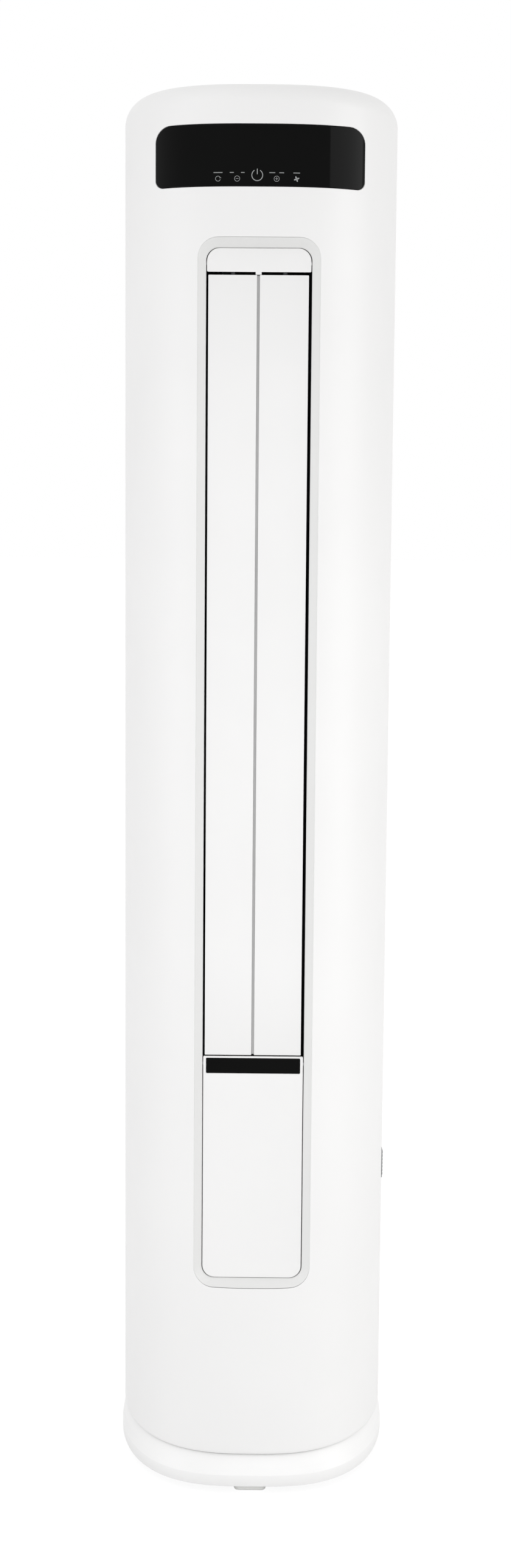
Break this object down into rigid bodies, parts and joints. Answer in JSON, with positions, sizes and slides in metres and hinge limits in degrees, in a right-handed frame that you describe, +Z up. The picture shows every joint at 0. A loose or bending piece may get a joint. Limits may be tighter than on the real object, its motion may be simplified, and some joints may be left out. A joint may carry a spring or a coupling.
{
  "type": "floor standing air conditioner",
  "caption": "Tall rounded column air conditioner with an upright outlet closed by turning louvers, a black touch display, a rear inlet grille and a flared plinth on rubber feet.",
  "frame": {"origin": "centre of the underside of the overall box, on the floor", "axes": "+X right seen from the front, +Y to the back, +Z up; the outlet faces -Y"},
  "size_m": [0.358, 0.37, 1.8],
  "materials": {
    "white_shell": "white moulded plastic, satin gloss",
    "white_plinth": "brighter white moulded plastic",
    "pale_frame": "pale grey-white plastic bevel",
    "black_gloss": "black high-gloss smoked plastic",
    "grey_rubber": "pale grey rubber",
    "dark_plastic": "dark grey moulded plastic",
    "zinc_steel": "zinc plated sheet steel",
    "coil_aluminium": "thin aluminium fins",
    "copper_pipe": "drawn copper tube",
    "board_green": "green circuit board",
    "filter_grey": "grey filter frame with fine net"
  },
  "bodies": {
    "column": {"base_plinth": "white_plinth", "bearing_seat": "dark_plastic", "cable_gland": "dark_plastic", "coil_plate_lower": "zinc_steel", "coil_plate_upper": "zinc_steel", "control_box": "zinc_steel", "control_box_cover": "zinc_steel", "display_board": "board_green", "display_holder": "dark_plastic", "display_window": "black_gloss", "drain_pan": "dark_plastic", "evaporator": "coil_aluminium", "fan_motor": "zinc_steel", "foot_front": "grey_rubber", "foot_front_left": "grey_rubber", "foot_front_right": "grey_rubber", "foot_rear_left": "grey_rubber", "foot_rear_right": "grey_rubber", "frame_post_left": "zinc_steel", "frame_post_right": "zinc_steel", "front_cover": "white_shell", "gas_pipe": "copper_pipe", "liquid_pipe": "copper_pipe", "louver_motor": "zinc_steel", "lower_panel": "white_shell", "lower_shelf": "zinc_steel", "main_board": "board_green", "outlet_cap": "white_shell", "outlet_surround": "pale_frame", "rear_housing": "white_shell", "scroll_wall": "dark_plastic", "terminal_block": "dark_plastic", "tip_bracket": "zinc_steel", "tongue_wall": "dark_plastic", "top_cover": "white_shell", "trim_strip": "black_gloss", "upper_shelf": "zinc_steel", "vane_motor": "zinc_steel"},
    "fan": {"fan_rotor": "dark_plastic", "fan_drive_shaft": "zinc_steel", "fan_top_shaft": "zinc_steel"},
    "left_louver": {"left_louver": "white_shell", "left_louver_crank": "dark_plastic"},
    "right_louver": {"right_louver": "white_shell", "right_louver_crank": "dark_plastic"},
    "louver_link": {"louver_link": "dark_plastic"},
    "vane_tie_bar": {"vane_tie_bar": "dark_plastic"},
    "inlet_panel": {"inlet_grille": "white_shell", "filter_frame": "filter_grey"},
    "side_catch": {"side_catch": "dark_plastic"},
    "vane_01": {"vane_01": "dark_plastic"},
    "vane_02": {"vane_02": "dark_plastic"},
    "vane_03": {"vane_03": "dark_plastic"},
    "vane_04": {"vane_04": "dark_plastic"},
    "vane_05": {"vane_05": "dark_plastic"},
    "vane_06": {"vane_06": "dark_plastic"},
    "vane_07": {"vane_07": "dark_plastic"},
    "vane_08": {"vane_08": "dark_plastic"},
    "vane_09": {"vane_09": "dark_plastic"},
    "vane_10": {"vane_10": "dark_plastic"}
  },
  "joints": [
    {"name": "fan_spin", "type": "hinge", "parent": "column", "child": "fan", "pos_m": [0, 0.01, 1.081], "axis": [0, 0, 1], "continuous": true},
    {"name": "left_louver_swing", "type": "hinge", "parent": "column", "child": "left_louver", "pos_m": [-0.0321, -0.154, 1.079], "axis": [0, 0, 1], "range_deg": [0, 120]},
    {"name": "right_louver_swing", "type": "hinge", "parent": "column", "child": "right_louver", "pos_m": [0.0321, -0.154, 1.079], "axis": [0, 0, 1], "range_deg": [0, 120]},
    {"name": "louver_link_turn", "type": "hinge", "parent": "left_louver", "child": "louver_link", "pos_m": [-0.01824, -0.146, 0.566], "axis": [0, 0, 1], "range_deg": [-120, 0]},
    {"name": "vane_01_tilt", "type": "hinge", "parent": "column", "child": "vane_01", "pos_m": [0, -0.09, 0.624], "axis": [1, 0, 0], "range_deg": [-35, 35]},
    {"name": "vane_02_tilt", "type": "hinge", "parent": "column", "child": "vane_02", "pos_m": [0, -0.09, 0.726], "axis": [1, 0, 0], "range_deg": [-35, 35]},
    {"name": "vane_03_tilt", "type": "hinge", "parent": "column", "child": "vane_03", "pos_m": [0, -0.09, 0.828], "axis": [1, 0, 0], "range_deg": [-35, 35]},
    {"name": "vane_04_tilt", "type": "hinge", "parent": "column", "child": "vane_04", "pos_m": [0, -0.09, 0.93], "axis": [1, 0, 0], "range_deg": [-35, 35]},
    {"name": "vane_05_tilt", "type": "hinge", "parent": "column", "child": "vane_05", "pos_m": [0, -0.09, 1.032], "axis": [1, 0, 0], "range_deg": [-35, 35]},
    {"name": "vane_06_tilt", "type": "hinge", "parent": "column", "child": "vane_06", "pos_m": [0, -0.09, 1.134], "axis": [1, 0, 0], "range_deg": [-35, 35]},
    {"name": "vane_07_tilt", "type": "hinge", "parent": "column", "child": "vane_07", "pos_m": [0, -0.09, 1.236], "axis": [1, 0, 0], "range_deg": [-35, 35]},
    {"name": "vane_08_tilt", "type": "hinge", "parent": "column", "child": "vane_08", "pos_m": [0, -0.09, 1.338], "axis": [1, 0, 0], "range_deg": [-35, 35]},
    {"name": "vane_09_tilt", "type": "hinge", "parent": "column", "child": "vane_09", "pos_m": [0, -0.09, 1.44], "axis": [1, 0, 0], "range_deg": [-35, 35]},
    {"name": "vane_10_tilt", "type": "hinge", "parent": "column", "child": "vane_10", "pos_m": [0, -0.09, 1.542], "axis": [1, 0, 0], "range_deg": [-35, 35]},
    {"name": "vane_tie_bar_turn", "type": "hinge", "parent": "vane_01", "child": "vane_tie_bar", "pos_m": [-0.048, -0.071, 0.624], "axis": [1, 0, 0], "range_deg": [-35, 35]},
    {"name": "inlet_panel_tilt", "type": "hinge", "parent": "column", "child": "inlet_panel", "pos_m": [0, 0.182, 0.62], "axis": [-1, 0, 0], "range_deg": [0, 35]},
    {"name": "side_catch_press", "type": "slide", "parent": "column", "child": "side_catch", "axis": [-1, 0, 0], "range_m": [0, 0.003], "stiffness_N_per_m": 400}
  ],
  "couplings": [
    {"joint": "right_louver_swing", "follows": "left_louver_swing", "ratio": 1},
    {"joint": "louver_link_turn", "follows": "left_louver_swing", "ratio": -1},
    {"joint": "vane_02_tilt", "follows": "vane_01_tilt", "ratio": 1},
    {"joint": "vane_03_tilt", "follows": "vane_01_tilt", "ratio": 1},
    {"joint": "vane_04_tilt", "follows": "vane_01_tilt", "ratio": 1},
    {"joint": "vane_05_tilt", "follows": "vane_01_tilt", "ratio": 1},
    {"joint": "vane_06_tilt", "follows": "vane_01_tilt", "ratio": 1},
    {"joint": "vane_07_tilt", "follows": "vane_01_tilt", "ratio": 1},
    {"joint": "vane_08_tilt", "follows": "vane_01_tilt", "ratio": 1},
    {"joint": "vane_09_tilt", "follows": "vane_01_tilt", "ratio": 1},
    {"joint": "vane_10_tilt", "follows": "vane_01_tilt", "ratio": 1},
    {"joint": "vane_tie_bar_turn", "follows": "vane_01_tilt", "ratio": -1}
  ]
}
